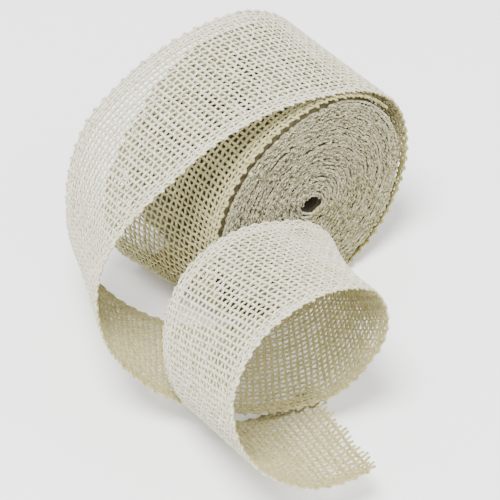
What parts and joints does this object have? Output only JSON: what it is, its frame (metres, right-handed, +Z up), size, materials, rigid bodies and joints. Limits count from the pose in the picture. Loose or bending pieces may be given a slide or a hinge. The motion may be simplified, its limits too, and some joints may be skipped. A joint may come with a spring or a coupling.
{
  "type": "ribbon roll",
  "caption": "Coreless roll of open-weave ribbon on its edge, outer end led over the top and across the floor into a front curl",
  "frame": {"origin": "on the floor under the middle of the roll's width, below the roll's axis", "axes": "+Z up, the roll's axis along Y, its near face toward -Y, the ribbon led off toward -X"},
  "size_m": [0.1695, 0.1768, 0.1138],
  "materials": {
    "weave": "open plain weave of pale natural yarn",
    "roll_edge": "packed woven selvages",
    "fringe_yarn": "loose cut yarn ends"
  },
  "bodies": {
    "outer_turn": {"outer_turn": "weave", "turn_foot": "weave", "wrap_start": "weave"},
    "wound": {"hub_coil": "roll_edge", "wound_roll": "roll_edge"},
    "lead": {"loose_wrap": "weave", "tail": "weave", "curl_rise": "weave", "curl_top": "weave", "curl_side": "weave"},
    "cut_end": {"free_end": "weave", "cut_fringe": "fringe_yarn"}
  },
  "joints": [
    {"name": "roll_turn", "type": "hinge", "parent": "outer_turn", "child": "wound", "pos_m": [0, 0, 0.0521], "axis": [0, -1, 0], "continuous": true},
    {"name": "lead_lift", "type": "hinge", "parent": "outer_turn", "child": "lead", "pos_m": [-0.00738, 0.00127, 0.11218], "axis": [0.0495, 0.9983, 0.0318], "range_deg": [0, 25]},
    {"name": "end_flex", "type": "hinge", "parent": "lead", "child": "cut_end", "pos_m": [-0.09033, -0.10037, 0.01862], "axis": [0.2464, 0.901, -0.3571], "range_deg": [0, 6], "stiffness_Nm_per_rad": 0.02}
  ]
}
